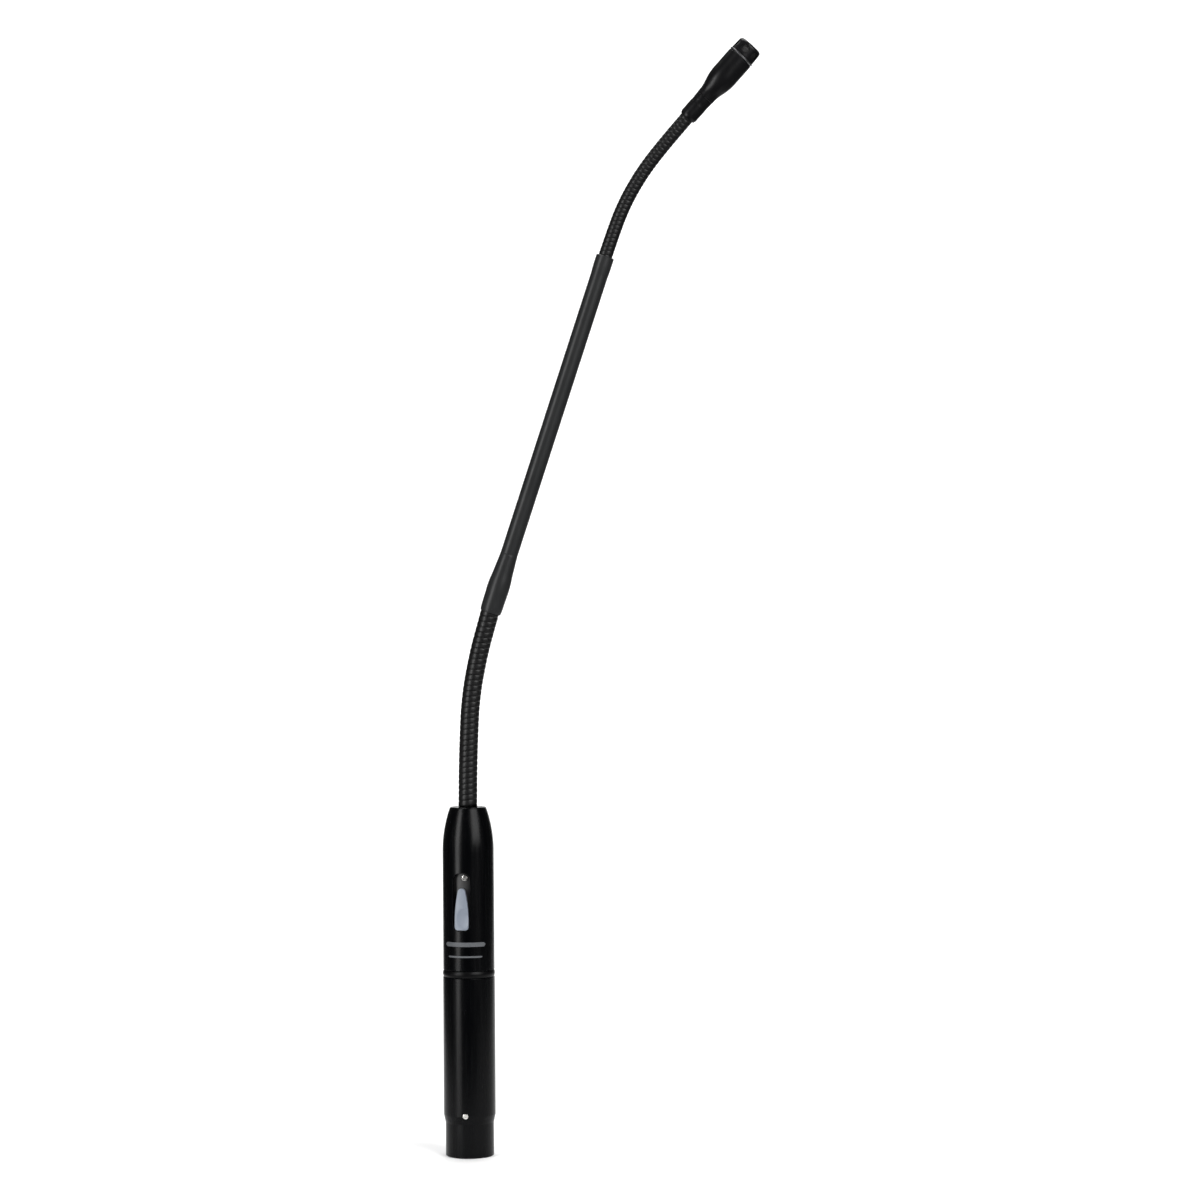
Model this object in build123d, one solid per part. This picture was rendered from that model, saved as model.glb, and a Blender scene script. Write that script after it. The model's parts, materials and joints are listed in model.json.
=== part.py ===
from build123d import *
import os
from math import atan2, cos, degrees, hypot, radians, sin, sqrt

# Gooseneck podium microphone. Millimetres and degrees.
# Origin: centre of the connector's open rim. +Z runs up the housing, -Y is the switch side,
# and the neck leans towards +X.

# ---- connector end and housing -------------------------------------------------------
SHELL_R = 9.5            # standard round three-contact connector, male shell
SHELL_BORE_R = 8.0
SHELL_TOP = 13.2         # where the shoulder starts
SHOULDER_TOP = 16.4
BARREL_R = 10.2
BARREL_BORE_R = 8.9
BARREL_BORE_Z = 27.5
RIM_CHAMFER = 0.4
SEAM_LOW, SEAM_HIGH = 70.6, 73.2
SEAM_GAP = 0.05
UPPER_R = 10.07
UPPER_BORE_R = 8.2
SPIGOT_R = 8.85
SPIGOT_LOW = 62.0
NOSE_START = 120.0       # the housing narrows from here on one arc
NOSE_ARC_R = 50.7
HOUSING_TOP = 137.2
NOSE_SEAT_Z = 131.0      # flat inside face that the gland nut pulls against
NOSE_SEAT_R = 7.7
NOSE_CONE_Z = 124.0
TOP_FILLET = 0.8

KEYWAY = (2.2, 0.9, 9.0)      # width, depth, length
LATCH_WINDOW = (5.0, 3.4)     # width, height
LATCH_Z = 8.8

# ---- connector insert, contacts ------------------------------------------------------
INSERT_R = 7.95
INSERT_LOW, INSERT_HIGH = 13.8, 26.0
CONTACT_CIRCLE_R = 4.35
CONTACT_ANGLES = (180, 0, -90)     # contacts 1, 2 and 3, the keyway is at +90
CONTACT_R = 1.2
CONTACT_STEM_R = 1.0
CONTACT_TAIL_R = 0.8
CONTACT_TIP_Z = 1.6
CONTACT_TIP_FILLET = 0.8
CONTACT_TAIL_Z = 31.0
FIT_GAP = 0.02

# ---- small screws --------------------------------------------------------------------
SCREW_HEAD_R = 1.2
SCREW_SHANK_R = 0.8
SCREW_SLOT = (0.35, 0.3)           # width, depth
INSERT_SCREW_Z = 16.65
BOARD_SCREW_Z = 109.85
SCREW_HEAD_H = 0.6

# ---- slide switch --------------------------------------------------------------------
SWITCH_TRAVEL = 1.8
SWITCH_X = -1.1            # the switch sits beside the board screw's line
WELL_W = 6.9
WELL_LOW, WELL_HIGH = 89.0, 111.7
THUMB_LOW, THUMB_HIGH = 89.5, 105.8
THUMB_HALF_W = 2.75
THUMB_TIP_R = 1.5
THUMB_CORNER_R = 1.2
THUMB_INNER_R, THUMB_OUTER_R = 8.35, 10.3
FRAME_OUTER_R, FRAME_INNER_R = 8.15, 7.35
FRAME_LOW, FRAME_HIGH = 86.0, 114.5
FRAME_HALF_W = 4.6
STEM_LOW, STEM_HIGH = 94.5, 97.5
STEM_HALF_W = 1.0
SLIDE_GAP = 0.2

# ---- circuit board -------------------------------------------------------------------
BOARD_W, BOARD_T = 13.6, 1.2
BOARD_LOW, BOARD_HIGH = 36.0, 113.5
POST_R = 1.6
POST_TIP = -7.1

# ---- gland ---------------------------------------------------------------------------
GLAND_R = 4.5
GLAND_COLLAR_R = 5.5
GLAND_COLLAR_H = 1.05
GLAND_LOW = 125.0
NUT_ACROSS_FLATS = 12.0
NUT_H = 3.0
WASHER_R, WASHER_T = 6.6, 0.6

# ---- necks and middle tube -----------------------------------------------------------
HINGES = 9                              # per neck, bending in two planes by turns
LOWER_NECK = [(36.0, 3.2), (12.0, 6.2), (29.5, 9.1)]           # arcs: length, turn
UPPER_NECK = [(13.1, 2.0), (16.0, 10.3), (15.2, 8.7), (19.0, 3.1)]
LOWER_NECK_R, LOWER_NECK_BORE_R = 3.7, 2.0
UPPER_NECK_R, UPPER_NECK_BORE_R = 2.75, 1.45
LINK_GAP = 1.05
RIB_DEPTH, RIB_CHAMFER = 0.4, 0.25
LOWER_RIBS, UPPER_RIBS = 4, 3
CABLE_R = 1.1
STUB_IN_GLAND = 6.0
TUBE_LENGTH = 146.7                     # end of the lower neck to start of the upper neck
TUBE_R, TUBE_BORE_R = 3.42, 2.6
LOWER_SEAT = 12.0                       # depth of the lower neck in its coupling
LOWER_COUPLING_L = 24.0
UPPER_SEAT = 3.9
UPPER_COUPLING_L = 7.5

# ---- head, measured along its own axis from the start of the ferrule --------------------
FERRULE_R = 3.55
FERRULE_L = 10.2
NECK_SEAT = 7.0
HEAD_R = 5.35
FLARE_START, FLARE_END = 12.0, 22.0
RING_LOW, RING_HIGH = 31.0, 32.1
RING_R = 5.42
HEAD_END = 37.4
GRILLE_R, GRILLE_TIP_R = 5.2, 4.95
GRILLE_FILLET = 1.2
HEAD_BORE_R = 4.9
HEAD_BORE_LOW = 22.0
WINDOWS = 6
WINDOW_LOW, WINDOW_HIGH = 33.2, 35.8
WINDOW_W = 3.2
FRONT_HOLE_R = 0.55
FRONT_HOLE_RINGS = ((0.0, 1), (1.65, 6), (3.2, 12))
CAN_R = 4.4
CAN_LOW = 25.0
DISC_R = 4.0             # board, diaphragm and its ring, inside the can

PARTS = "parts"


def save(shape, node):
    shape = shape if isinstance(shape, Compound) else Compound(children=[shape])
    export_step(shape, os.path.join(PARTS, f"{node}.step"))


def turned(*outline):
    """Solid of revolution about Z from (radius, height) corners."""
    return revolve(make_face(Plane.XZ * Polyline(*outline, close=True)), Axis.Z)


def ring(outer, inner, low, high):
    return turned((inner, low), (outer, low), (outer, high), (inner, high))


def rod(radius, low, high):
    return Pos(0, 0, low) * extrude(Circle(radius), high - low)


def block(x, y, z):
    """Box from its (low, high) limits along each axis."""
    size = [limits[1] - limits[0] for limits in (x, y, z)]
    middle = [sum(limits) / 2 for limits in (x, y, z)]
    return Pos(*middle) * Box(*size)


def facing_front(radius, near, far, height):
    """Rod that runs along Y between two depths, at a height up the housing."""
    return Pos(0, far, height) * Rot(90, 0, 0) * extrude(Circle(radius), far - near)


def cable(points, radius, bend):
    path = FilletPolyline(*points, radius=bend) if len(points) > 2 else Polyline(*points)
    start = Plane(origin=path @ 0, z_dir=path % 0)
    return sweep(start * Circle(radius), path=path)


# ---- the stem's centreline -------------------------------------------------------------

def along(arcs, start, distance):
    """Place (x, z, lean) at a distance along tangent arcs; lean is from +Z towards +X."""
    x, z, lean = start
    for length, turn in arcs:
        step = min(distance, length)
        bend = turn * step / length
        chord = 2 * length / radians(turn) * sin(radians(bend) / 2) if bend else step
        middle = radians(lean + bend / 2)
        x += chord * sin(middle)
        z += chord * cos(middle)
        lean += bend
        distance -= step
    return x, z, lean


def length_of(arcs):
    return sum(length for length, turn in arcs)


LOWER_START = (0.0, HOUSING_TOP, 0.0)
TUBE_START = along(LOWER_NECK, LOWER_START, length_of(LOWER_NECK))
UPPER_START = along([(TUBE_LENGTH, 0.0)], TUBE_START, TUBE_LENGTH)
HEAD_START = along(UPPER_NECK, UPPER_START, length_of(UPPER_NECK))


def placed(start, forward=0.0):
    x, z, lean = start
    return Pos(x, 0, z) * Rot(0, lean, 0) * Pos(0, 0, forward)


def hinge_places(arcs, start):
    pitch = length_of(arcs) / HINGES
    return [along(arcs, start, pitch * (number + 0.5)) for number in range(HINGES)]


# ---- connector end -----------------------------------------------------------------------

INSERT_SCREW_SEAT = -9.3
BOARD_SCREW_SEAT = -FRAME_OUTER_R - 0.02


def screw(head_seat, tip):
    head = facing_front(SCREW_HEAD_R, head_seat - SCREW_HEAD_H, head_seat, 0)
    head = fillet(head.edges().group_by(Axis.Y)[0], 0.35)
    slot = block((-2, 2), (head_seat - 1, head_seat - SCREW_HEAD_H + SCREW_SLOT[1]),
                 (-SCREW_SLOT[0] / 2, SCREW_SLOT[0] / 2))
    return head - slot + facing_front(SCREW_SHANK_R, head_seat, tip, 0)


def connector_barrel():
    body = turned(
        (SHELL_BORE_R, 0), (SHELL_R - RIM_CHAMFER, 0), (SHELL_R, RIM_CHAMFER),
        (SHELL_R, SHELL_TOP), (BARREL_R, SHOULDER_TOP), (BARREL_R, SEAM_LOW - 0.3),
        (BARREL_R - 0.3, SEAM_LOW), (BARREL_BORE_R, SEAM_LOW),
        (BARREL_BORE_R, BARREL_BORE_Z), (SHELL_BORE_R, BARREL_BORE_Z),
    )
    width, depth, length = KEYWAY
    body -= block((-width / 2, width / 2), (0, SHELL_BORE_R + depth), (-1, length))
    wide, high = LATCH_WINDOW
    body -= block((-wide / 2, wide / 2), (SHELL_BORE_R - 1, SHELL_R + 1),
                  (LATCH_Z - high / 2, LATCH_Z + high / 2))
    body -= facing_front(SCREW_HEAD_R + 0.05, -12, INSERT_SCREW_SEAT, INSERT_SCREW_Z)
    return body - facing_front(SCREW_SHANK_R + 0.05, -12, -6, INSERT_SCREW_Z)


def contact_places():
    return [Rot(0, 0, angle) * Pos(CONTACT_CIRCLE_R, 0, 0) for angle in CONTACT_ANGLES]


def connector_insert():
    body = turned(
        (0, INSERT_LOW), (INSERT_R - 0.3, INSERT_LOW), (INSERT_R, INSERT_LOW + 0.3),
        (INSERT_R, INSERT_HIGH - 4.0), (INSERT_R - 0.8, INSERT_HIGH - 4.0),
        (INSERT_R - 0.8, INSERT_HIGH), (0, INSERT_HIGH),
    )
    for place in contact_places():
        body -= place * rod(CONTACT_STEM_R + FIT_GAP, INSERT_LOW - 1, INSERT_HIGH + 1)
    return body - facing_front(SCREW_SHANK_R + 0.05, -12, -6, INSERT_SCREW_Z)


def contact_pins():
    front = rod(CONTACT_R, CONTACT_TIP_Z, INSERT_LOW - 0.05)
    front = fillet(front.edges().group_by(Axis.Z)[0], CONTACT_TIP_FILLET)
    one = front + rod(CONTACT_STEM_R, INSERT_LOW - 0.05, INSERT_HIGH)
    one += rod(CONTACT_TAIL_R, INSERT_HIGH, CONTACT_TAIL_Z)
    return Compound(children=[place * one for place in contact_places()])


def ground_clip():
    """Bent strip from contact 1 to the inside of the barrel."""
    strip_t, half_w = 0.3, 1.6
    low = INSERT_HIGH + 0.05
    wall = BARREL_BORE_R - 0.15
    foot = block((-7.0, -2.8), (-half_w, half_w), (low, low + strip_t))
    riser = block((-7.0, -7.0 + strip_t), (-half_w, half_w), (low, BARREL_BORE_Z + 1.0))
    step = block((-wall + 0.2, -7.0 + strip_t), (-half_w, half_w),
                 (BARREL_BORE_Z + 1.0, BARREL_BORE_Z + 1.0 + strip_t))
    tongue = block((-wall + 0.2, -wall + 0.2 + strip_t), (-half_w, half_w),
                   (BARREL_BORE_Z + 1.0, BARREL_BORE_Z + 5.0))
    hole = Pos(-CONTACT_CIRCLE_R, 0, 0) * rod(CONTACT_TAIL_R + FIT_GAP, 20, 35)
    return foot + riser + step + tongue - hole


# ---- housing -----------------------------------------------------------------------------

def seam_ring():
    inner, edge, crown = SPIGOT_R + 0.05, UPPER_R - 0.15, BARREL_R + 0.02
    low, high = SEAM_LOW + SEAM_GAP, SEAM_HIGH - SEAM_GAP
    outline = Polyline((edge, high), (inner, high), (inner, low), (edge, low))
    outline += ThreePointArc((edge, low), (crown, (low + high) / 2), (edge, high))
    return revolve(make_face(Plane.XZ * outline), Axis.Z)


def nose_radius(height):
    rise = height - NOSE_START
    return UPPER_R - (NOSE_ARC_R - sqrt(NOSE_ARC_R**2 - rise**2))


def upper_barrel():
    top_r = nose_radius(HOUSING_TOP)
    well_r = GLAND_COLLAR_R + 0.1
    outline = Polyline(
        (top_r, HOUSING_TOP), (well_r, HOUSING_TOP),
        (well_r, HOUSING_TOP - GLAND_COLLAR_H - 0.1), (GLAND_R + 0.1, HOUSING_TOP - GLAND_COLLAR_H - 0.1),
        (GLAND_R + 0.1, NOSE_SEAT_Z), (NOSE_SEAT_R, NOSE_SEAT_Z), (UPPER_BORE_R, NOSE_CONE_Z),
        (UPPER_BORE_R, SPIGOT_LOW), (SPIGOT_R, SPIGOT_LOW), (SPIGOT_R, SEAM_HIGH),
        (UPPER_R - 0.3, SEAM_HIGH), (UPPER_R, SEAM_HIGH + 0.3), (UPPER_R, NOSE_START),
    )
    outline += TangentArc((UPPER_R, NOSE_START), (top_r, HOUSING_TOP), tangent=(0, 1))
    body = revolve(make_face(Plane.XZ * outline), Axis.Z)
    rim = [e for e in body.edges().filter_by(GeomType.CIRCLE) if abs(e.radius - top_r) < 0.01]
    body = fillet(rim, TOP_FILLET)
    return body - switch_well()


def switch_well():
    middle = (WELL_LOW + WELL_HIGH) / 2
    outline = RectangleRounded(WELL_W, WELL_HIGH - WELL_LOW, 2.6)
    return Pos(SWITCH_X, -5, middle) * Rot(90, 0, 0) * extrude(outline, 7)


# ---- switch ------------------------------------------------------------------------------

def front_shell(outline, x, inner, outer):
    """An outline drawn on the front, (x, z), moved to x and cut from the wall between two radii."""
    slab = extrude(make_face(Plane.XZ * outline), 12, dir=(0, -1, 0))
    return Pos(x, 0, 0) * slab & ring(outer, inner, 60, 125)


def switch_thumb():
    """Thumb piece: narrow at its top, full width below, with rounded lower corners."""
    tip_z = THUMB_HIGH - THUMB_TIP_R
    waist = (2.4, 98.8)
    side_end = (THUMB_HALF_W, 92.0)
    corner_z = THUMB_LOW + THUMB_CORNER_R
    corner_x = THUMB_HALF_W - THUMB_CORNER_R
    dip = THUMB_CORNER_R * (1 - sqrt(0.5))

    def side(sign):
        return [
            ThreePointArc((sign * THUMB_TIP_R, tip_z), (sign * waist[0], waist[1]),
                          (sign * side_end[0], side_end[1])),
            Line((sign * THUMB_HALF_W, side_end[1]), (sign * THUMB_HALF_W, corner_z)),
            ThreePointArc((sign * THUMB_HALF_W, corner_z),
                          (sign * (THUMB_HALF_W - dip), THUMB_LOW + dip),
                          (sign * corner_x, THUMB_LOW)),
        ]

    outline = Curve() + side(1) + side(-1)
    outline += Line((corner_x, THUMB_LOW), (-corner_x, THUMB_LOW))
    outline += ThreePointArc((THUMB_TIP_R, tip_z), (0, THUMB_HIGH), (-THUMB_TIP_R, tip_z))
    body = front_shell(outline, SWITCH_X, THUMB_INNER_R, THUMB_OUTER_R)
    dish = Pos(SWITCH_X, -THUMB_OUTER_R - 13.6, 94.0) * Sphere(14.2)
    return body - dish


def switch_frame():
    """Curved liner that closes the well behind the thumb piece, with a slot for the stem."""
    outline = Polyline((-FRAME_HALF_W, FRAME_LOW), (FRAME_HALF_W, FRAME_LOW),
                       (FRAME_HALF_W, FRAME_HIGH), (-FRAME_HALF_W, FRAME_HIGH), close=True)
    body = front_shell(outline, 0, FRAME_INNER_R, FRAME_OUTER_R)
    slot_high = STEM_HIGH + SWITCH_TRAVEL + SLIDE_GAP
    body -= Pos(SWITCH_X, 0, 0) * block((-STEM_HALF_W - SLIDE_GAP, STEM_HALF_W + SLIDE_GAP),
                                        (-12, -5), (STEM_LOW - SLIDE_GAP, slot_high))
    return body - facing_front(SCREW_SHANK_R + 0.05, -12, 0, BOARD_SCREW_Z)


CARRIAGE_HALF_W = 1.6
CARRIAGE_LOW, CARRIAGE_HIGH = 93.5, 98.5
CARRIAGE_DEPTH = (-4.0, -1.0)
SWITCH_BODY_DEPTH = -4.8


def switch_body():
    body = block((-3.2, 3.2), (SWITCH_BODY_DEPTH, 0), (90.5, 103.5))
    body -= block((-CARRIAGE_HALF_W - SLIDE_GAP, CARRIAGE_HALF_W + SLIDE_GAP),
                  (CARRIAGE_DEPTH[0] - SLIDE_GAP, CARRIAGE_DEPTH[1] + SLIDE_GAP),
                  (CARRIAGE_LOW - SLIDE_GAP, CARRIAGE_HIGH + SWITCH_TRAVEL + SLIDE_GAP))
    return body - block((-STEM_HALF_W - SLIDE_GAP, STEM_HALF_W + SLIDE_GAP),
                        (SWITCH_BODY_DEPTH - 1, CARRIAGE_DEPTH[0]),
                        (STEM_LOW - SLIDE_GAP, STEM_HIGH + SWITCH_TRAVEL + SLIDE_GAP))


def switch_carriage():
    carriage = block((-CARRIAGE_HALF_W, CARRIAGE_HALF_W), CARRIAGE_DEPTH,
                     (CARRIAGE_LOW, CARRIAGE_HIGH))
    stem = block((-STEM_HALF_W, STEM_HALF_W), (-8.0, CARRIAGE_DEPTH[0]), (STEM_LOW, STEM_HIGH))
    return carriage + stem


# ---- circuit board -------------------------------------------------------------------------

def circuit_board():
    return block((-BOARD_W / 2, BOARD_W / 2), (0, BOARD_T), (BOARD_LOW, BOARD_HIGH))


def board_capacitors():
    """Two can capacitors behind the board and one film block in front."""
    can = rod(2.5, 0, 8.0) - (rod(3.0, 1.2, 1.7) - rod(2.3, 1.2, 1.7))
    cans = [Pos(0, BOARD_T + 2.55, height) * can for height in (44.0, 58.0)]
    film = block((-3.6, 3.6), (-3.0, -0.02), (74.0, 80.0))
    return Compound(children=[*cans, film])


def board_transistors():
    body = Pos(0, -2.4, 0) * (rod(2.3, 0, 4.6) - block((-3, 3), (1.3, 3), (-1, 6)))
    legs = [block((x - 0.25, x + 0.25), (-2.6, -2.1), (-2.4, 0)) for x in (-1.27, 0, 1.27)]
    feet = [block((x - 0.25, x + 0.25), (-2.6, -0.02), (-2.8, -2.4)) for x in (-1.27, 0, 1.27)]
    one = body
    for leg in legs + feet:
        one += leg
    return Compound(children=[Pos(0, 0, height) * one for height in (58.0, 67.0)])


def board_resistors():
    one = rod(0.9, -1.8, 1.8)
    one += rod(0.3, -2.6, 2.6)
    for end in (-2.6, 2.3):
        one += block((-0.3, 0.3), (0, 1.0), (end, end + 0.3))
    places = [(x, -1.02, height) for height in (43.0, 49.5, 85.5) for x in (-4.4, 0, 4.4)]
    return Compound(children=[Pos(*place) * one for place in places])


def board_post():
    return (facing_front(POST_R, POST_TIP, -0.02, BOARD_SCREW_Z)
            - facing_front(SCREW_SHANK_R + FIT_GAP, -9, -3.0, BOARD_SCREW_Z))


def output_wires():
    """Short leads from the contacts' tails to the foot of the board."""
    wires = []
    for place, pad_x in zip(contact_places(), (-3.0, 3.0, 0.0)):
        tail = place.position
        wires.append(cable(
            [(tail.X, tail.Y, CONTACT_TAIL_Z), (tail.X, tail.Y, CONTACT_TAIL_Z + 2.2),
             (pad_x, -2.4, BOARD_LOW + 1.6), (pad_x, -0.05, BOARD_LOW + 1.6)], 0.5, 0.7))
    return Compound(children=wires)


def housing_cable():
    return cable(
        [(0, BOARD_T + 1.15, 100.0), (0, BOARD_T + 1.15, 115.5), (0, 0, 122.0),
         (0, 0, HOUSING_TOP - STUB_IN_GLAND)], CABLE_R, 8.0)


# ---- gland -----------------------------------------------------------------------------------

def neck_gland():
    seat_r = LOWER_NECK_R + 0.05
    collar_low = HOUSING_TOP - GLAND_COLLAR_H - 0.05
    return turned(
        (CABLE_R + 0.4, GLAND_LOW), (GLAND_R, GLAND_LOW), (GLAND_R, collar_low),
        (GLAND_COLLAR_R, collar_low), (GLAND_COLLAR_R, HOUSING_TOP - 0.25),
        (GLAND_COLLAR_R - 0.2, HOUSING_TOP - 0.05), (seat_r, HOUSING_TOP - 0.05),
        (seat_r, HOUSING_TOP - STUB_IN_GLAND - 0.05),
        (CABLE_R + 0.4, HOUSING_TOP - STUB_IN_GLAND - 0.05),
    )


def gland_nut():
    high = NOSE_SEAT_Z - WASHER_T - 0.1
    low = high - NUT_H
    hexagon = RegularPolygon(NUT_ACROSS_FLATS / 2, 6, major_radius=False)
    nut = Pos(0, 0, low) * extrude(hexagon, NUT_H)
    return nut - rod(GLAND_R + FIT_GAP, low - 1, high + 1)


def gland_washer():
    return ring(WASHER_R, GLAND_R + 0.15, NOSE_SEAT_Z - WASHER_T - 0.05, NOSE_SEAT_Z - 0.05)


# ---- necks -------------------------------------------------------------------------------------

def ribbed(radius, bore, low, high, ribs):
    """A stretch of neck: coil ribs on a hollow core, from one height to another."""
    pitch = (high - low + LINK_GAP) / ribs
    core = radius - RIB_DEPTH
    outline = [(bore, low)]
    for number in range(ribs):
        start = low + number * pitch
        end = start + pitch - LINK_GAP
        if number:
            outline.append((core, start))
        outline += [(radius - RIB_CHAMFER, start), (radius, start + RIB_CHAMFER),
                    (radius, end - RIB_CHAMFER), (radius - RIB_CHAMFER, end)]
        if number < ribs - 1:
            outline.append((core, end))
    return turned(*outline, (bore, high))


def neck_link(radius, bore, length, ribs):
    """One link between two hinges, and the stretch of cable inside it."""
    low, high = LINK_GAP / 2, length - LINK_GAP / 2
    return Compound(children=[ribbed(radius, bore, low, high, ribs), rod(CABLE_R, low, high)])


def neck_stub(radius, bore, plain, exposed, ribs):
    """An end of the neck: a plain stretch held by its fitting, then the ribs up to a hinge."""
    high = exposed - LINK_GAP / 2
    coil = ring(radius, bore, -plain, 0) + ribbed(radius, bore, 0, high, ribs)
    return Compound(children=[coil, rod(CABLE_R, -plain, high)])


def neck_nodes(name, arcs, start, end, radius, bore, ribs, seats):
    """Every node of one neck, in place. seats: how deep its two ends sit in their fittings."""
    hinges = hinge_places(arcs, start)
    half = length_of(arcs) / HINGES / 2
    stub_ribs = max(1, ribs // 2)
    nodes = {f"{name}_01": placed(start) * neck_stub(radius, bore, seats[0], half, stub_ribs)}
    for number, (here, ahead) in enumerate(zip(hinges, hinges[1:]), 2):
        run = (ahead[0] - here[0], ahead[1] - here[1])
        lean = degrees(atan2(*run))
        link = neck_link(radius, bore, hypot(*run), ribs)
        nodes[f"{name}_{number:02d}"] = placed((here[0], here[1], lean)) * link
    last = placed(end) * Rot(180, 0, 0) * neck_stub(radius, bore, seats[1], half, stub_ribs)
    nodes[f"{name}_{HINGES + 1:02d}"] = last
    return nodes


# ---- middle tube ---------------------------------------------------------------------------------

def lower_coupling():
    """Crimped sleeve that swells over the neck's end and narrows onto the tube."""
    coil_r, tube_r = LOWER_NECK_R + 0.04, TUBE_R + FIT_GAP
    outline = Polyline(
        (3.45, LOWER_COUPLING_L), (tube_r, LOWER_COUPLING_L), (tube_r, LOWER_SEAT + 0.1),
        (coil_r, LOWER_SEAT + 0.1), (coil_r, 0), (4.08, 0), (4.2, 0.6),
    )
    outline += Spline((4.2, 0.6), (4.36, 5.0), (4.36, 12.5), (4.05, 15.5), (3.72, 20.0),
                      (3.45, LOWER_COUPLING_L), tangents=((0.12, 1), (-0.03, 1)))
    return revolve(make_face(Plane.XZ * outline), Axis.Z)


def rigid_tube():
    return ring(TUBE_R, TUBE_BORE_R, LOWER_SEAT + 0.2, TUBE_LENGTH - UPPER_SEAT - 0.2)


def tube_cable():
    return rod(CABLE_R, LOWER_SEAT + 0.02, TUBE_LENGTH - UPPER_SEAT - 0.02)


def upper_coupling():
    """Short collar, slightly wider than the tube, that holds the upper neck."""
    low = TUBE_LENGTH - UPPER_COUPLING_L
    seat = TUBE_LENGTH - UPPER_SEAT - 0.1
    coil_r, tube_r = UPPER_NECK_R + 0.04, TUBE_R + FIT_GAP
    return turned(
        (tube_r, low), (TUBE_R + 0.05, low), (3.58, low + 3.5), (3.58, TUBE_LENGTH - 0.3),
        (3.3, TUBE_LENGTH), (coil_r, TUBE_LENGTH), (coil_r, seat), (tube_r, seat),
    )


# ---- head ------------------------------------------------------------------------------------------

def head_ferrule():
    coil_r, tail_r = UPPER_NECK_R + 0.04, 2.95
    return turned(
        (coil_r, 0), (3.15, 0), (3.5, 0.9), (FERRULE_R, 2.0), (FERRULE_R, 6.2), (3.5, 6.8),
        (3.5, 7.6), (FERRULE_R, 8.2), (FERRULE_R + 0.05, FERRULE_L), (tail_r, FERRULE_L),
        (tail_r, NECK_SEAT + 0.1), (coil_r, NECK_SEAT + 0.1),
    )


def capsule_housing():
    """Head body: threaded tail in the ferrule, a smooth flare, then a thin-walled cup."""
    tail_r, cable_r = 2.93, CABLE_R + 0.4
    low = FERRULE_L + 0.05
    outline = Polyline(
        (HEAD_R, FLARE_END), (HEAD_R, RING_LOW - 0.2), (HEAD_R - 0.2, RING_LOW - 0.05),
        (HEAD_BORE_R, RING_LOW - 0.05), (HEAD_BORE_R, HEAD_BORE_LOW), (3.2, 18.5),
        (cable_r, 18.5), (cable_r, NECK_SEAT + 0.2), (tail_r, NECK_SEAT + 0.2), (tail_r, low),
        (3.55, low), (3.7, low + 0.15), (3.74, FLARE_START),
    )
    middle = (FLARE_START + FLARE_END) / 2
    outline += Spline((3.74, FLARE_START), ((3.74 + HEAD_R) / 2 + 0.08, middle - 0.6),
                      (HEAD_R, FLARE_END), tangents=((0.02, 1), (0, 1)))
    return revolve(make_face(Plane.XZ * outline), Axis.Z)


def grille_ring():
    return turned(
        (HEAD_BORE_R, RING_LOW), (HEAD_R - 0.25, RING_LOW), (RING_R, RING_LOW + 0.35),
        (RING_R, RING_HIGH - 0.35), (HEAD_R - 0.35, RING_HIGH), (HEAD_BORE_R, RING_HIGH),
    )


def front_grille():
    """Slotted cap: six side windows and rings of round holes in its face."""
    low, wall, face_t = RING_HIGH + 0.05, 0.6, 0.7
    inner = GRILLE_R - wall
    body = turned(
        (0, HEAD_END), (0, HEAD_END - face_t), (inner, HEAD_END - face_t), (inner, low),
        (GRILLE_R, low), (GRILLE_TIP_R, HEAD_END),
    )
    rim = [e for e in body.edges().filter_by(GeomType.CIRCLE)
           if abs(e.radius - GRILLE_TIP_R) < 0.01]
    body = fillet(rim, GRILLE_FILLET)
    window_h = WINDOW_HIGH - WINDOW_LOW
    window = (Pos(0, 0, (WINDOW_LOW + WINDOW_HIGH) / 2) * Rot(0, 90, 0)
              * extrude(RectangleRounded(window_h, WINDOW_W, 0.7), 8))
    for number in range(WINDOWS):
        body -= Rot(0, 0, 360 / WINDOWS * (number + 0.5)) * window
    for radius, count in FRONT_HOLE_RINGS:
        for number in range(count):
            hole = rod(FRONT_HOLE_R, HEAD_END - 2, HEAD_END + 1)
            body -= Rot(0, 0, 360 / count * number) * Pos(radius, 0, 0) * hole
    return body


def grille_mesh():
    """Fine metal cloth cup that lines the slotted cap."""
    outer, wall = GRILLE_R - 0.65, 0.15
    low, high = RING_HIGH + 0.1, HEAD_END - 0.75
    return turned(
        (0, high), (0, high - wall), (outer - wall, high - wall), (outer - wall, low),
        (outer, low), (outer, high),
    )


def capsule_can():
    low, high = CAN_LOW, RING_HIGH - 0.4
    wall, lip = 0.3, 3.2
    return turned(
        (CAN_R - wall, low), (CAN_R, low), (CAN_R, high), (lip, high), (lip, high - wall),
        (CAN_R - wall, high - wall),
    )


def capsule_gasket():
    return ring(HEAD_BORE_R - 0.05, CAN_R + 0.05, CAN_LOW + 1.0, CAN_LOW + 5.0)


def diaphragm_ring():
    return ring(DISC_R, 3.4, RING_HIGH - 1.15, RING_HIGH - 0.75)


def diaphragm():
    return rod(DISC_R, RING_HIGH - 1.25, RING_HIGH - 1.17)


def backplate():
    plate = rod(DISC_R - 0.2, RING_HIGH - 2.0, RING_HIGH - 1.35)
    for number in range(6):
        plate -= Rot(0, 0, 60 * number) * Pos(2.2, 0, 0) * rod(0.4, 20, 40)
    return plate


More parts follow.
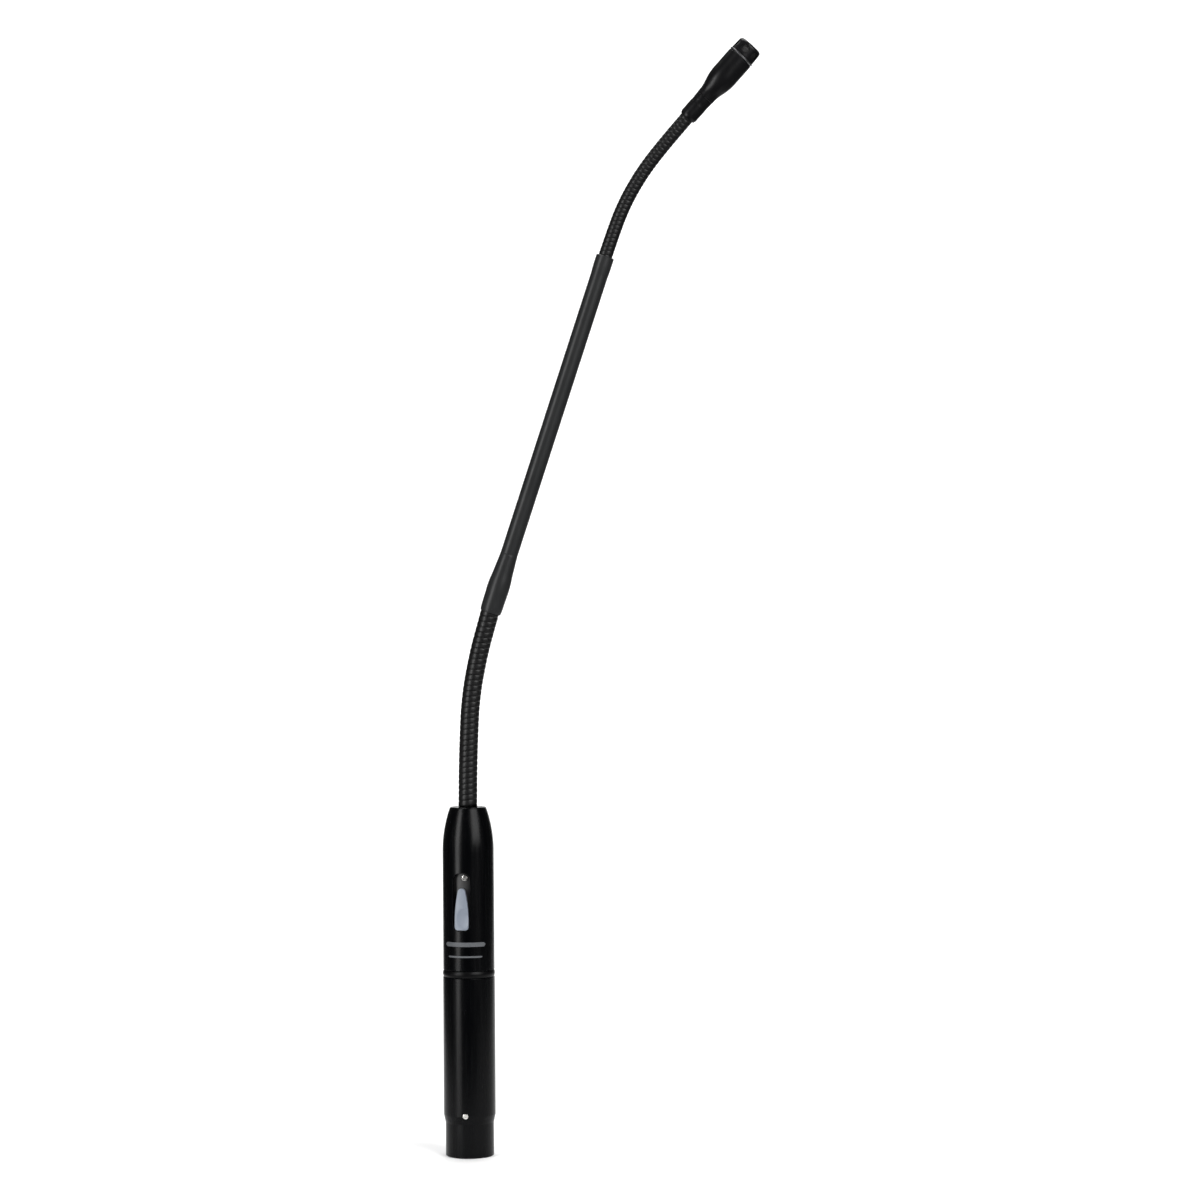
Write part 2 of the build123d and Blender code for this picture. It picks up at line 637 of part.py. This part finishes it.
def head_board():
    """Round board with the impedance converter on it."""
    low, high = CAN_LOW + 0.2, CAN_LOW + 1.0
    return rod(DISC_R, low, high) + block((-1.5, 1.5), (-1.0, 1.0), (high, high + 1.1))


def head_cable():
    return rod(CABLE_R, NECK_SEAT + 0.02, CAN_LOW + 0.15)


# ---- everything ------------------------------------------------------------------------------------

def housing_nodes():
    return {
        "connector_barrel": connector_barrel(),
        "connector_insert": connector_insert(),
        "contact_pins": contact_pins(),
        "insert_screw": Pos(0, 0, INSERT_SCREW_Z) * screw(INSERT_SCREW_SEAT, -6.6),
        "ground_clip": ground_clip(),
        "seam_ring": seam_ring(),
        "upper_barrel": upper_barrel(),
        "circuit_board": circuit_board(),
        "board_capacitors": board_capacitors(),
        "board_transistors": board_transistors(),
        "board_resistors": board_resistors(),
        "board_post": board_post(),
        "board_screw": Pos(0, 0, BOARD_SCREW_Z) * screw(BOARD_SCREW_SEAT, -4.0),
        "switch_body": Pos(SWITCH_X, 0, 0) * switch_body(),
        "switch_frame": switch_frame(),
        "switch_thumb": switch_thumb(),
        "switch_carriage": Pos(SWITCH_X, 0, 0) * switch_carriage(),
        "output_wires": output_wires(),
        "housing_cable": housing_cable(),
        "neck_gland": neck_gland(),
        "gland_washer": gland_washer(),
        "gland_nut": gland_nut(),
    }


def tube_nodes():
    pieces = {
        "lower_coupling": lower_coupling(),
        "rigid_tube": rigid_tube(),
        "tube_cable": tube_cable(),
        "upper_coupling": upper_coupling(),
    }
    return {node: placed(TUBE_START) * piece for node, piece in pieces.items()}


def head_nodes():
    pieces = {
        "head_ferrule": head_ferrule(),
        "capsule_housing": capsule_housing(),
        "head_cable": head_cable(),
        "head_board": head_board(),
        "capsule_gasket": capsule_gasket(),
        "capsule_can": capsule_can(),
        "backplate": backplate(),
        "diaphragm": diaphragm(),
        "diaphragm_ring": diaphragm_ring(),
        "grille_ring": grille_ring(),
        "front_grille": front_grille(),
        "grille_mesh": grille_mesh(),
    }
    return {node: placed(HEAD_START) * piece for node, piece in pieces.items()}


def main():
    os.makedirs(PARTS, exist_ok=True)
    nodes = housing_nodes() | tube_nodes() | head_nodes()
    nodes |= neck_nodes("lower_neck", LOWER_NECK, LOWER_START, TUBE_START, LOWER_NECK_R,
                        LOWER_NECK_BORE_R, LOWER_RIBS, (STUB_IN_GLAND, LOWER_SEAT))
    nodes |= neck_nodes("upper_neck", UPPER_NECK, UPPER_START, HEAD_START, UPPER_NECK_R,
                        UPPER_NECK_BORE_R, UPPER_RIBS, (UPPER_SEAT, NECK_SEAT))
    for node, shape in nodes.items():
        save(shape, node)
    print(len(nodes), "nodes")


if __name__ == "__main__":
    main()
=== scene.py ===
import json
from math import cos, pi, radians, sin, tau

import bpy
from mathutils import Matrix, Vector


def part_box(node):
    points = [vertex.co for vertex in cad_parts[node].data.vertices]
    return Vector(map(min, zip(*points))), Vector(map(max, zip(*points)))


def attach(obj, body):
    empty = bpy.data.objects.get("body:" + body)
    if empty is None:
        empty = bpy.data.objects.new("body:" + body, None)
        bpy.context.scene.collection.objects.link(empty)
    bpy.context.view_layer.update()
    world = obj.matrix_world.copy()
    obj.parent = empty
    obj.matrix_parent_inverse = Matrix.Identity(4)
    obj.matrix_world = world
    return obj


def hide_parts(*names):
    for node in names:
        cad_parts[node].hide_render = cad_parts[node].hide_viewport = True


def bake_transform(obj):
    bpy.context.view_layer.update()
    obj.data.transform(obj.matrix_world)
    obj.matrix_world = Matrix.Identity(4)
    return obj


# Gooseneck podium microphone on a white studio sweep. Metres, in the frame of the CAD model:
# +Z up the housing, -Y is the switch side, +X is the side the necks lean to.

MM = 0.001

# ---- wound necks ----------------------------------------------------------------------
LOWER_COIL = {"radius": 3.7 * MM, "pitch": 2.15 * MM, "groove": 0.14 * MM, "bend_half": 2.9 * MM}
UPPER_COIL = {"radius": 2.75 * MM, "pitch": 1.76 * MM, "groove": 0.11 * MM, "bend_half": 2.5 * MM}
ROWS_PER_TURN = 12
SEGMENTS = 64
WIRE_SQUARENESS = 3.6          # 2 gives round wire, more gives a flatter crown
TUCKED_IN = 1.0 * MM           # how far a coil runs on inside the fitting at each end

# ---- printed marks --------------------------------------------------------------------
# bar: height of its middle above the seam ring, width, height
MARKS = {
    "print_bar_wide": (10.7 * MM, 17.6 * MM, 1.7 * MM),
    "print_bar_thin": (5.9 * MM, 14.7 * MM, 0.7 * MM),
}
MARK_LIFT = 0.02 * MM
MARK_ROUNDING = 6
MARK_COLUMNS = 24

# ---- studio ---------------------------------------------------------------------------
CAMERA_AZIMUTH = 7.6
CAMERA_DISTANCE = 1.23
CAMERA_SIDE = 0.05255          # the picture's middle, right of the housing's axis
CAMERA_HEIGHT = 0.2183
CAMERA_ROLL = 0.36
PICTURE_WIDTH = 0.4728         # what the camera sees across, at the housing's axis
SENSOR = 36.0


# ---- materials -------------------------------------------------------------------------
NOISE_ROUGHNESS = 0.55
PLASTIC_GRAIN_SCALE = 2800


# ---- node helpers ----------------------------------------------------------------------

class Shader:
    """One material's node tree, built by short calls."""

    def __init__(self, name):
        self.material = bpy.data.materials.new(name)
        self.material.use_nodes = True
        self.tree = self.material.node_tree
        self.surface = self.tree.nodes["Principled BSDF"]
        self.place = self.add("ShaderNodeTexCoord").outputs["Object"]

    def add(self, kind, **settings):
        node = self.tree.nodes.new(kind)
        for key, value in settings.items():
            setattr(node, key, value)
        return node

    def join(self, output, socket):
        self.tree.links.new(output, socket)

    def set(self, **values):
        """Constants on the surface shader, such as roughness=0.4."""
        for key, value in values.items():
            self.surface.inputs[key.replace("_", " ")].default_value = value

    def stretched(self, x=1.0, y=1.0, z=1.0):
        mapping = self.add("ShaderNodeMapping")
        mapping.inputs["Scale"].default_value = (x, y, z)
        self.join(self.place, mapping.inputs["Vector"])
        return mapping.outputs["Vector"]

    def noise(self, scale, detail=3.0, vector=None):
        node = self.add("ShaderNodeTexNoise")
        node.inputs["Scale"].default_value = scale
        node.inputs["Detail"].default_value = detail
        node.inputs["Roughness"].default_value = NOISE_ROUGHNESS
        self.join(vector or self.place, node.inputs["Vector"])
        return node.outputs["Fac"]

    def spread(self, value, low, high, from_low=0.3, from_high=0.7):
        node = self.add("ShaderNodeMapRange")
        node.inputs["From Min"].default_value = from_low
        node.inputs["From Max"].default_value = from_high
        node.inputs["To Min"].default_value = low
        node.inputs["To Max"].default_value = high
        self.join(value, node.inputs["Value"])
        return node.outputs["Result"]

    def blend_colours(self, factor, first, second):
        node = self.add("ShaderNodeMix", data_type="RGBA")
        self.join(factor, node.inputs["Factor"])
        for colour, socket in ((first, node.inputs["A"]), (second, node.inputs["B"])):
            if isinstance(colour, tuple):
                socket.default_value = (*colour, 1.0)
            else:
                self.join(colour, socket)
        return node.outputs["Result"]

    def bump(self, height, depth, normal=None):
        """Bump of a real depth in metres, on top of another normal."""
        node = self.add("ShaderNodeBump")
        node.inputs["Strength"].default_value = 1.0
        node.inputs["Distance"].default_value = depth
        self.join(height, node.inputs["Height"])
        if normal:
            self.join(normal, node.inputs["Normal"])
        return node.outputs["Normal"]

    def eased_edges(self, radius):
        node = self.add("ShaderNodeBevel", samples=4)
        node.inputs["Radius"].default_value = radius
        return node.outputs["Normal"]

    def finish(self, colour, roughness, normal):
        self.join(colour, self.surface.inputs["Base Color"])
        self.join(roughness, self.surface.inputs["Roughness"])
        self.join(normal, self.surface.inputs["Normal"])
        return self.material


# ---- materials -------------------------------------------------------------------------

def satin_coat(name, colour, worn, roughness, grain, specular, edge):
    """Baked satin coating: orange peel, faint rub marks along the part, soft edges."""
    s = Shader(name)
    s.set(Metallic=0.0, Specular_IOR_Level=specular)
    rubbed = s.noise(900, 4, vector=s.stretched(1.0, 1.0, 0.06))
    patches = s.noise(70, 5)
    tone = s.blend_colours(s.spread(patches, 0.0, 1.0), colour, worn)
    gloss = s.spread(rubbed, roughness - 0.04, roughness + 0.05)
    peel = s.noise(1500, 2)
    relief = s.bump(s.noise(5200, 2), grain * 0.35, s.eased_edges(edge))
    return s.finish(tone, gloss, s.bump(peel, grain, relief))


def wound_wire_painted_shade(name, groove, crest, roughness):
    """Black-coated spring wire, darker from its crowns into its grooves as painted shade; noise varies the crowns'
    lighter tone as rubbed wear.
    """
    s = Shader(name)
    s.set(Metallic=0.0, Specular_IOR_Level=0.2)
    height = s.add("ShaderNodeAttribute", attribute_name="crest").outputs["Fac"]
    worn = s.spread(s.noise(350, 5), 0.55, 1.0)
    share = s.add("ShaderNodeMath", operation="MULTIPLY")
    s.join(height, share.inputs[0])
    s.join(worn, share.inputs[1])
    # painted shade: the groove colour fills the grooves and the crest colour the crowns, keyed to the wire's
    # height
    tone = s.blend_colours(share.outputs["Value"], groove, crest)
    gloss = s.spread(s.noise(1400, 3), roughness - 0.05, roughness + 0.1)
    return s.finish(tone, gloss, s.bump(s.noise(6000, 3), 0.006 * MM))


def bright_metal(name, colour, dull, roughness, scale=2600):
    s = Shader(name)
    s.set(Metallic=1.0)
    tone = s.blend_colours(s.spread(s.noise(500, 4), 0.0, 1.0), colour, dull)
    gloss = s.spread(s.noise(scale, 4), roughness - 0.06, roughness + 0.1)
    normal = s.bump(s.noise(scale, 3), 0.004 * MM, s.eased_edges(0.06 * MM))
    return s.finish(tone, gloss, normal)


def moulded_plastic(name, colour, other, roughness, grain=0.012 * MM):
    """Moulded plastic with an eroded texture and slightly uneven colour."""
    s = Shader(name)
    s.set(Metallic=0.0, Specular_IOR_Level=0.45)
    tone = s.blend_colours(s.spread(s.noise(240, 4), 0.0, 1.0), colour, other)
    gloss = s.spread(s.noise(PLASTIC_GRAIN_SCALE, 3), roughness - 0.05, roughness + 0.08)
    relief = s.bump(s.noise(PLASTIC_GRAIN_SCALE, 2), grain, s.eased_edges(0.12 * MM))
    return s.finish(tone, gloss, relief)


def woven_cloth(name, wire, gap_shade, pitch):
    """Fine wire cloth: two sets of waves that cross, darker from the wires on top down into the openings as
    painted shade.
    """
    s = Shader(name)
    s.set(Metallic=0.6)
    heights = []
    for axis in ("X", "Y", "Z"):
        wave = s.add("ShaderNodeTexWave", bands_direction=axis)
        wave.inputs["Scale"].default_value = 1 / pitch / tau * 2
        wave.inputs["Distortion"].default_value = 0.0
        s.join(s.place, wave.inputs["Vector"])
        heights.append(wave.outputs["Fac"])
    crossed = heights[0]
    for height in heights[1:]:
        higher = s.add("ShaderNodeMath", operation="MAXIMUM")
        s.join(crossed, higher.inputs[0])
        s.join(height, higher.inputs[1])
        crossed = higher.outputs["Value"]
    # painted shade: the gap colour darkens the openings and the lower wires, keyed to the weave's height
    tone = s.blend_colours(s.spread(crossed, 0.0, 1.0, 0.4, 0.95), gap_shade, wire)
    return s.finish(tone, s.spread(crossed, 0.7, 0.4), s.bump(crossed, 0.05 * MM))


def laminate(name, mask, copper):
    """Circuit board: solder mask over a faint pattern of tracks."""
    s = Shader(name)
    s.set(Specular_IOR_Level=0.5)
    tracks = s.add("ShaderNodeTexBrick", offset=0.37, squash=0.6)
    tracks.inputs["Scale"].default_value = 260
    tracks.inputs["Mortar Size"].default_value = 0.06
    s.join(s.place, tracks.inputs["Vector"])
    tone = s.blend_colours(tracks.outputs["Fac"], mask, copper)
    relief = s.bump(tracks.outputs["Fac"], 0.03 * MM)
    return s.finish(tone, s.spread(s.noise(800), 0.3, 0.45), relief)


def printed_ink(name, colour, thin):
    """Screen-printed ink, slightly uneven in cover."""
    s = Shader(name)
    s.set(Specular_IOR_Level=0.3)
    tone = s.blend_colours(s.spread(s.noise(3000, 4), 0.0, 1.0), colour, thin)
    return s.finish(tone, s.spread(s.noise(1200), 0.45, 0.6), s.bump(s.noise(5000), 0.003 * MM))


def studio_paper(name, brightness):
    s = Shader(name)
    s.set(Specular_IOR_Level=0.1)
    shades = [(shade, shade, shade) for shade in (brightness * 0.99, brightness * 1.01)]
    tone = s.blend_colours(s.spread(s.noise(3, 3), 0.0, 1.0), *shades)
    return s.finish(tone, s.spread(s.noise(40), 0.85, 0.95), s.bump(s.noise(500), 0.02 * MM))


def make_materials():
    black, blacker = (0.0004, 0.0005, 0.0008), (0.0003, 0.0004, 0.0006)
    return {
        "housing_black": satin_coat("housing_black", black, blacker, 0.25, 0.003 * MM, 0.1,
                                    0.15 * MM),
        "tube_black": satin_coat("tube_black", (0.017, 0.0175, 0.018), (0.013, 0.0135, 0.014), 0.36,
                                 0.006 * MM, 0.15, 0.12 * MM),
        "head_black": satin_coat("head_black", (0.004, 0.004, 0.0045), (0.003, 0.003, 0.0033), 0.32,
                                 0.005 * MM, 0.14, 0.1 * MM),
        "seam_dark": satin_coat("seam_dark", (0.0012, 0.0012, 0.0014), (0.0008, 0.0008, 0.0010),
                                0.36, 0.004 * MM, 0.1, 0.15 * MM),
        # neck coil: first colour is painted shade in the grooves, second the lighter crowns, partly rubbed wear
        "neck_black": wound_wire_painted_shade(
            "neck_black", (0.0015, 0.0015, 0.0015), (0.0055, 0.0055, 0.0057), 0.36),
        "nickel": bright_metal("nickel", (0.80, 0.79, 0.76), (0.66, 0.65, 0.62), 0.22),
        "contact_gold": bright_metal("contact_gold", (0.90, 0.66, 0.28), (0.78, 0.55, 0.22), 0.2),
        "post_brass": bright_metal("post_brass", (0.80, 0.60, 0.26), (0.62, 0.46, 0.2), 0.3),
        "capsule_aluminium": bright_metal(
            "capsule_aluminium", (0.78, 0.78, 0.79), (0.66, 0.66, 0.67), 0.34),
        "steel": bright_metal("steel", (0.16, 0.16, 0.165), (0.10, 0.10, 0.105), 0.34),
        "insert_plastic": moulded_plastic(
            "insert_plastic", (0.006, 0.006, 0.006), (0.009, 0.009, 0.009), 0.5),
        "thumb_grey": moulded_plastic(
            "thumb_grey", (0.165, 0.187, 0.222), (0.14, 0.162, 0.197), 0.42),
        "component_black": moulded_plastic(
            "component_black", (0.010, 0.010, 0.010), (0.016, 0.016, 0.016), 0.5),
        "capacitor_sleeve": moulded_plastic(
            "capacitor_sleeve", (0.012, 0.02, 0.08), (0.008, 0.014, 0.06), 0.3, 0.004 * MM),
        "resistor_blue": moulded_plastic(
            "resistor_blue", (0.10, 0.32, 0.50), (0.08, 0.26, 0.42), 0.35, 0.004 * MM),
        "wire_sleeve": moulded_plastic(
            "wire_sleeve", (0.012, 0.012, 0.012), (0.018, 0.018, 0.018), 0.6),
        "gasket_rubber": moulded_plastic(
            "gasket_rubber", (0.010, 0.010, 0.010), (0.015, 0.015, 0.015), 0.8),
        "diaphragm_film": bright_metal(
            "diaphragm_film", (0.85, 0.74, 0.42), (0.78, 0.66, 0.36), 0.12, 400),
        "board_green": laminate("board_green", (0.008, 0.10, 0.035), (0.03, 0.19, 0.06)),
        # wire cloth: second colour is painted shade in the openings between the wires
        "mesh_black": woven_cloth(
            "mesh_black", (0.014, 0.014, 0.014), (0.002, 0.002, 0.002), 0.16 * MM),
        "print_grey": printed_ink("print_grey", (0.088, 0.092, 0.098), (0.056, 0.060, 0.066)),
    }


# ---- mesh helpers ----------------------------------------------------------------------

def mesh_object(name, points, faces, material):
    mesh = bpy.data.meshes.new(name)
    mesh.from_pydata(points, [], faces)
    mesh.update()
    mesh.materials.append(material)
    for polygon in mesh.polygons:
        polygon.use_smooth = True
    made = bpy.data.objects.new(name, mesh)
    bpy.context.collection.objects.link(made)
    return made


def smooth_cad_nodes():
    """CAD nodes shade smoothly."""
    for node in frame["nodes"].values():
        for polygon in node.data.polygons:
            polygon.use_smooth = True


# ---- necks -----------------------------------------------------------------------------

class Route:
    """Smooth line through points that are evenly spaced along it."""

    def __init__(self, points, spacing, offset):
        self.points, self.spacing, self.offset = points, spacing, offset

    def at(self, distance):
        """Point and direction at a distance from the route's start."""
        place = (distance - self.offset) / self.spacing
        last = len(self.points) - 2
        number = min(max(int(place // 1), 0), last)
        t = place - number
        a, b = self.points[number], self.points[number + 1]
        before = self.points[number - 1] if number else a - (b - a)
        after = self.points[number + 2] if number < last else b + (b - a)
        slope_a, slope_b = (b - before) / 2, (after - a) / 2
        if t < 0:
            return a + slope_a * t, slope_a.normalized()
        if t > 1:
            return b + slope_b * (t - 1), slope_b.normalized()
        t2, t3 = t * t, t * t * t
        point = (a * (2 * t3 - 3 * t2 + 1) + slope_a * (t3 - 2 * t2 + t)
                 + b * (3 * t2 - 2 * t3) + slope_b * (t3 - t2))
        slope = (a * (6 * t2 - 6 * t) + slope_a * (3 * t2 - 4 * t + 1)
                 + b * (6 * t - 6 * t2) + slope_b * (3 * t2 - 2 * t))
        return point, slope.normalized()


def neck_joints(neck):
    """The neck's hinges, from its lower end up."""
    chain = [joint for joint in frame["joints"] if joint["name"].startswith(neck)]
    return sorted(chain, key=lambda joint: joint["pos_m"][2])


def neck_route(neck):
    """The neck's centreline. A hinge is half a link from each end, and a link from the next."""
    places = [Vector(joint["pos_m"]) for joint in neck_joints(neck)]
    link = sum((b - a).length for a, b in zip(places, places[1:])) / (len(places) - 1)
    return Route(places, link, link / 2), link, len(places)


def crest(share):
    """Height of the wound wire across one turn, 0 in the groove and 1 on the crown."""
    return 1 - abs(2 * share - 1) ** WIRE_SQUARENESS


def coil_piece(name, route, coil, first_turn, last_turn, material):
    """A stretch of wound wire as one skin, whose rows follow the helix."""
    shares = [(1 - cos(pi * row / ROWS_PER_TURN)) / 2 for row in range(ROWS_PER_TURN)]
    rows = [(turn, share) for turn in range(first_turn, last_turn) for share in shares]
    rows.append((last_turn, 0.0))
    points, heights = [], []
    for turn, share in rows:
        for column in range(SEGMENTS + 1):
            angle = tau * column / SEGMENTS
            along = (turn + share + column / SEGMENTS - 0.5) * coil["pitch"]
            centre, ahead = route.at(along)
            side = Vector((0, 1, 0)).cross(ahead).normalized()
            radius = coil["radius"] - coil["groove"] * (1 - crest(share))
            points.append(centre + radius * (cos(angle) * side + sin(angle) * ahead.cross(side)))
            heights.append(crest(share))
    width = SEGMENTS + 1
    faces = [(r * width + c, r * width + c + 1, (r + 1) * width + c + 1, (r + 1) * width + c)
             for r in range(len(rows) - 1) for c in range(SEGMENTS)]
    made = mesh_object(name, points, faces, material)
    attribute = made.data.attributes.new("crest", "FLOAT", "POINT")
    attribute.data.foreach_set("value", heights)
    return made


def make_neck(neck, coil, material):
    """One skin per hinge, from the middle of one link to the middle of the next."""
    route, link, hinges = neck_route(neck)
    for number, joint in enumerate(neck_joints(neck)):
        start, end = number * link, (number + 1) * link
        if number == 0:
            start -= TUCKED_IN
        if number == hinges - 1:
            end += TUCKED_IN
        turns = [round(distance / coil["pitch"]) for distance in (start, end)]
        piece = coil_piece(f"{neck}_coil_{number + 1}", route, coil, *turns, material)
        place, ahead = route.at((number + 0.5) * link)
        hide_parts(f"{neck}_neck_{number + 1:02d}")
        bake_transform(piece)
        if number == hinges - 1:
            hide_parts(f"{neck}_neck_{hinges + 1:02d}")


# ---- printed marks ---------------------------------------------------------------------

def curved_mark(name, radius, middle, width, height, material):
    """A printed bar with rounded corners, wrapped round the switch side of the housing."""
    corner = min(width, height) * 0.35
    outline = []
    for quarter in range(4):
        sign_x = 1 if quarter in (0, 3) else -1
        sign_z = 1 if quarter in (0, 1) else -1
        centre = (sign_x * (width / 2 - corner), sign_z * (height / 2 - corner))
        for step in range(MARK_ROUNDING + 1):
            angle = radians(90 * (quarter + step / MARK_ROUNDING))
            outline.append((centre[0] + corner * cos(angle), centre[1] + corner * sin(angle)))
    points, faces = [], []
    for column in range(MARK_COLUMNS + 1):
        x = -width / 2 + width * column / MARK_COLUMNS
        reach = [z for (xa, za), (xb, zb) in zip(outline, outline[1:] + outline[:1])
                 for z in crossing(x, xa, za, xb, zb)]
        low, high = min(reach), max(reach)
        angle = radians(-90) + x / radius
        lifted = radius + MARK_LIFT
        for z in (low, high):
            points.append((lifted * cos(angle), lifted * sin(angle), middle + z))
    for column in range(MARK_COLUMNS):
        first = 2 * column
        faces.append((first, first + 2, first + 3, first + 1))
    return mesh_object(name, points, faces, material)


def crossing(x, xa, za, xb, zb):
    """Heights where an outline's edge meets a vertical line."""
    if abs(xa - xb) < 1e-12:
        return [za, zb] if abs(x - xa) < 1e-9 else []
    share = (x - xa) / (xb - xa)
    return [za + share * (zb - za)] if -1e-9 <= share <= 1 + 1e-9 else []


def make_marks(material):
    low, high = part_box("upper_barrel")
    radius = (high.x - low.x) / 2
    seam_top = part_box("seam_ring")[1].z
    for name, (above_seam, width, height) in MARKS.items():
        mark = curved_mark(name, radius, seam_top + above_seam, width, height, material)
        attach(mark, "housing")


# ---- studio ----------------------------------------------------------------------------

def make_sweep():
    """White sheet that runs back under the microphone and curves up behind it.

    It widens towards the back and is only a little wider than the picture, so that the sides of
    the black housing reflect the grey room more than white paper.
    """
    front, back, top, bend = -0.14, 1.3, 0.78, 0.4
    front_sides, back_sides = (-0.18, 0.32), (-0.67, 0.41)
    profile = [(front, 0.0), (back - bend, 0.0)]
    for step in range(1, 24):
        angle = radians(90 * step / 24)
        profile.append((back - bend + bend * sin(angle), bend - bend * cos(angle)))
    profile += [(back, bend), (back, top)]
    points = []
    for y, z in profile:
        share = (y - front) / (back - front)
        points += [(a + share * (b - a), y, z) for a, b in zip(front_sides, back_sides)]
    faces = [(2 * n, 2 * n + 1, 2 * n + 3, 2 * n + 2) for n in range(len(profile) - 1)]
    sweep = mesh_object("studio_sweep", points, faces, studio_paper("studio_paper", 0.94))


def make_table():
    """Grey table top that the white sheet lies on, with its front edge just before the sheet's."""
    half_width, front, back, drop = 1.6, -0.15, 1.8, -2 * MM
    corners = [(x, y, drop) for x, y in ((-half_width, front), (half_width, front),
                                         (half_width, back), (-half_width, back))]
    table = mesh_object("studio_table", corners, [(0, 1, 2, 3)], studio_paper("studio_grey", 0.09))


def add_light(name, place, aim, size, watts):
    data = bpy.data.lights.new(name, "AREA")
    data.shape = "RECTANGLE"
    data.size, data.size_y = size
    data.energy = watts
    lamp = bpy.data.objects.new(name, data)
    lamp.location = place
    lamp.rotation_euler = (Vector(aim) - Vector(place)).to_track_quat("-Z", "Y").to_euler()
    bpy.context.collection.objects.link(lamp)


def around(azimuth, distance, height):
    """A place round the housing; azimuth 0 is the switch side, positive towards +X."""
    return (distance * sin(radians(azimuth)), -distance * cos(radians(azimuth)), height)


def make_lights():
    middle = (0.0, 0.0, 0.25)
    add_light("soft_left", around(-39.5, 1.3, 0.42), middle, (0.42, 1.1), 18)
    add_light("soft_right", around(47, 1.2, 0.68), middle, (0.85, 0.95), 21)
    add_light("overhead", (-0.05, 0.5, 1.6), (-0.05, 0.5, 0.0), (1.0, 0.9), 13)
    add_light("backdrop_wash", (-0.09, 0.35, 1.5), (-0.12, 1.3, 0.35), (1.2, 0.3), 9)
    world = bpy.data.worlds.new("grey_room")
    world.use_nodes = True
    world.node_tree.nodes["Background"].inputs["Color"].default_value = (0.09, 0.09, 0.09, 1)
    bpy.context.scene.world = world


def make_camera():
    data = bpy.data.cameras.new("camera")
    data.sensor_width = SENSOR
    data.lens = SENSOR * CAMERA_DISTANCE / PICTURE_WIDTH
    camera = bpy.data.objects.new("camera", data)
    turn = radians(CAMERA_AZIMUTH)
    right = Vector((cos(turn), sin(turn), 0))
    back = Vector((sin(turn), -cos(turn), 0))
    camera.location = CAMERA_SIDE * right + CAMERA_DISTANCE * back + Vector((0, 0, CAMERA_HEIGHT))
    level = (-back).to_track_quat("-Z", "Y").to_matrix()
    camera.rotation_euler = (level @ Matrix.Rotation(radians(-CAMERA_ROLL), 3, "Z")).to_euler()
    bpy.context.collection.objects.link(camera)
    bpy.context.scene.camera = camera


# ---- everything ------------------------------------------------------------------------

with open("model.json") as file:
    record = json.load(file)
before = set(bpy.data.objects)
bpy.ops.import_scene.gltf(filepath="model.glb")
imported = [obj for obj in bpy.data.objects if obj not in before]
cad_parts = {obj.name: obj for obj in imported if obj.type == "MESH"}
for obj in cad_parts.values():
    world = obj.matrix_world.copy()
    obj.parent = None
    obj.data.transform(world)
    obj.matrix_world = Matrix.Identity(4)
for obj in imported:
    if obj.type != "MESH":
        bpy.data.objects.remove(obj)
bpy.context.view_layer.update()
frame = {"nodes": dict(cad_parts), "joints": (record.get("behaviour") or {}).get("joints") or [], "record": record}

materials = make_materials()
slots = {part["node"]: part["material_slot"] for part in frame["record"]["subparts"]}
for node, cad_object in frame["nodes"].items():
    cad_object.data.materials.clear()
    cad_object.data.materials.append(materials[slots[node]])

make_camera()
smooth_cad_nodes()
make_neck("lower", LOWER_COIL, materials["neck_black"])
make_neck("upper", UPPER_COIL, materials["neck_black"])
make_marks(materials["print_grey"])
make_sweep()
make_table()
make_lights()
bpy.context.scene.view_settings.view_transform = "Standard"
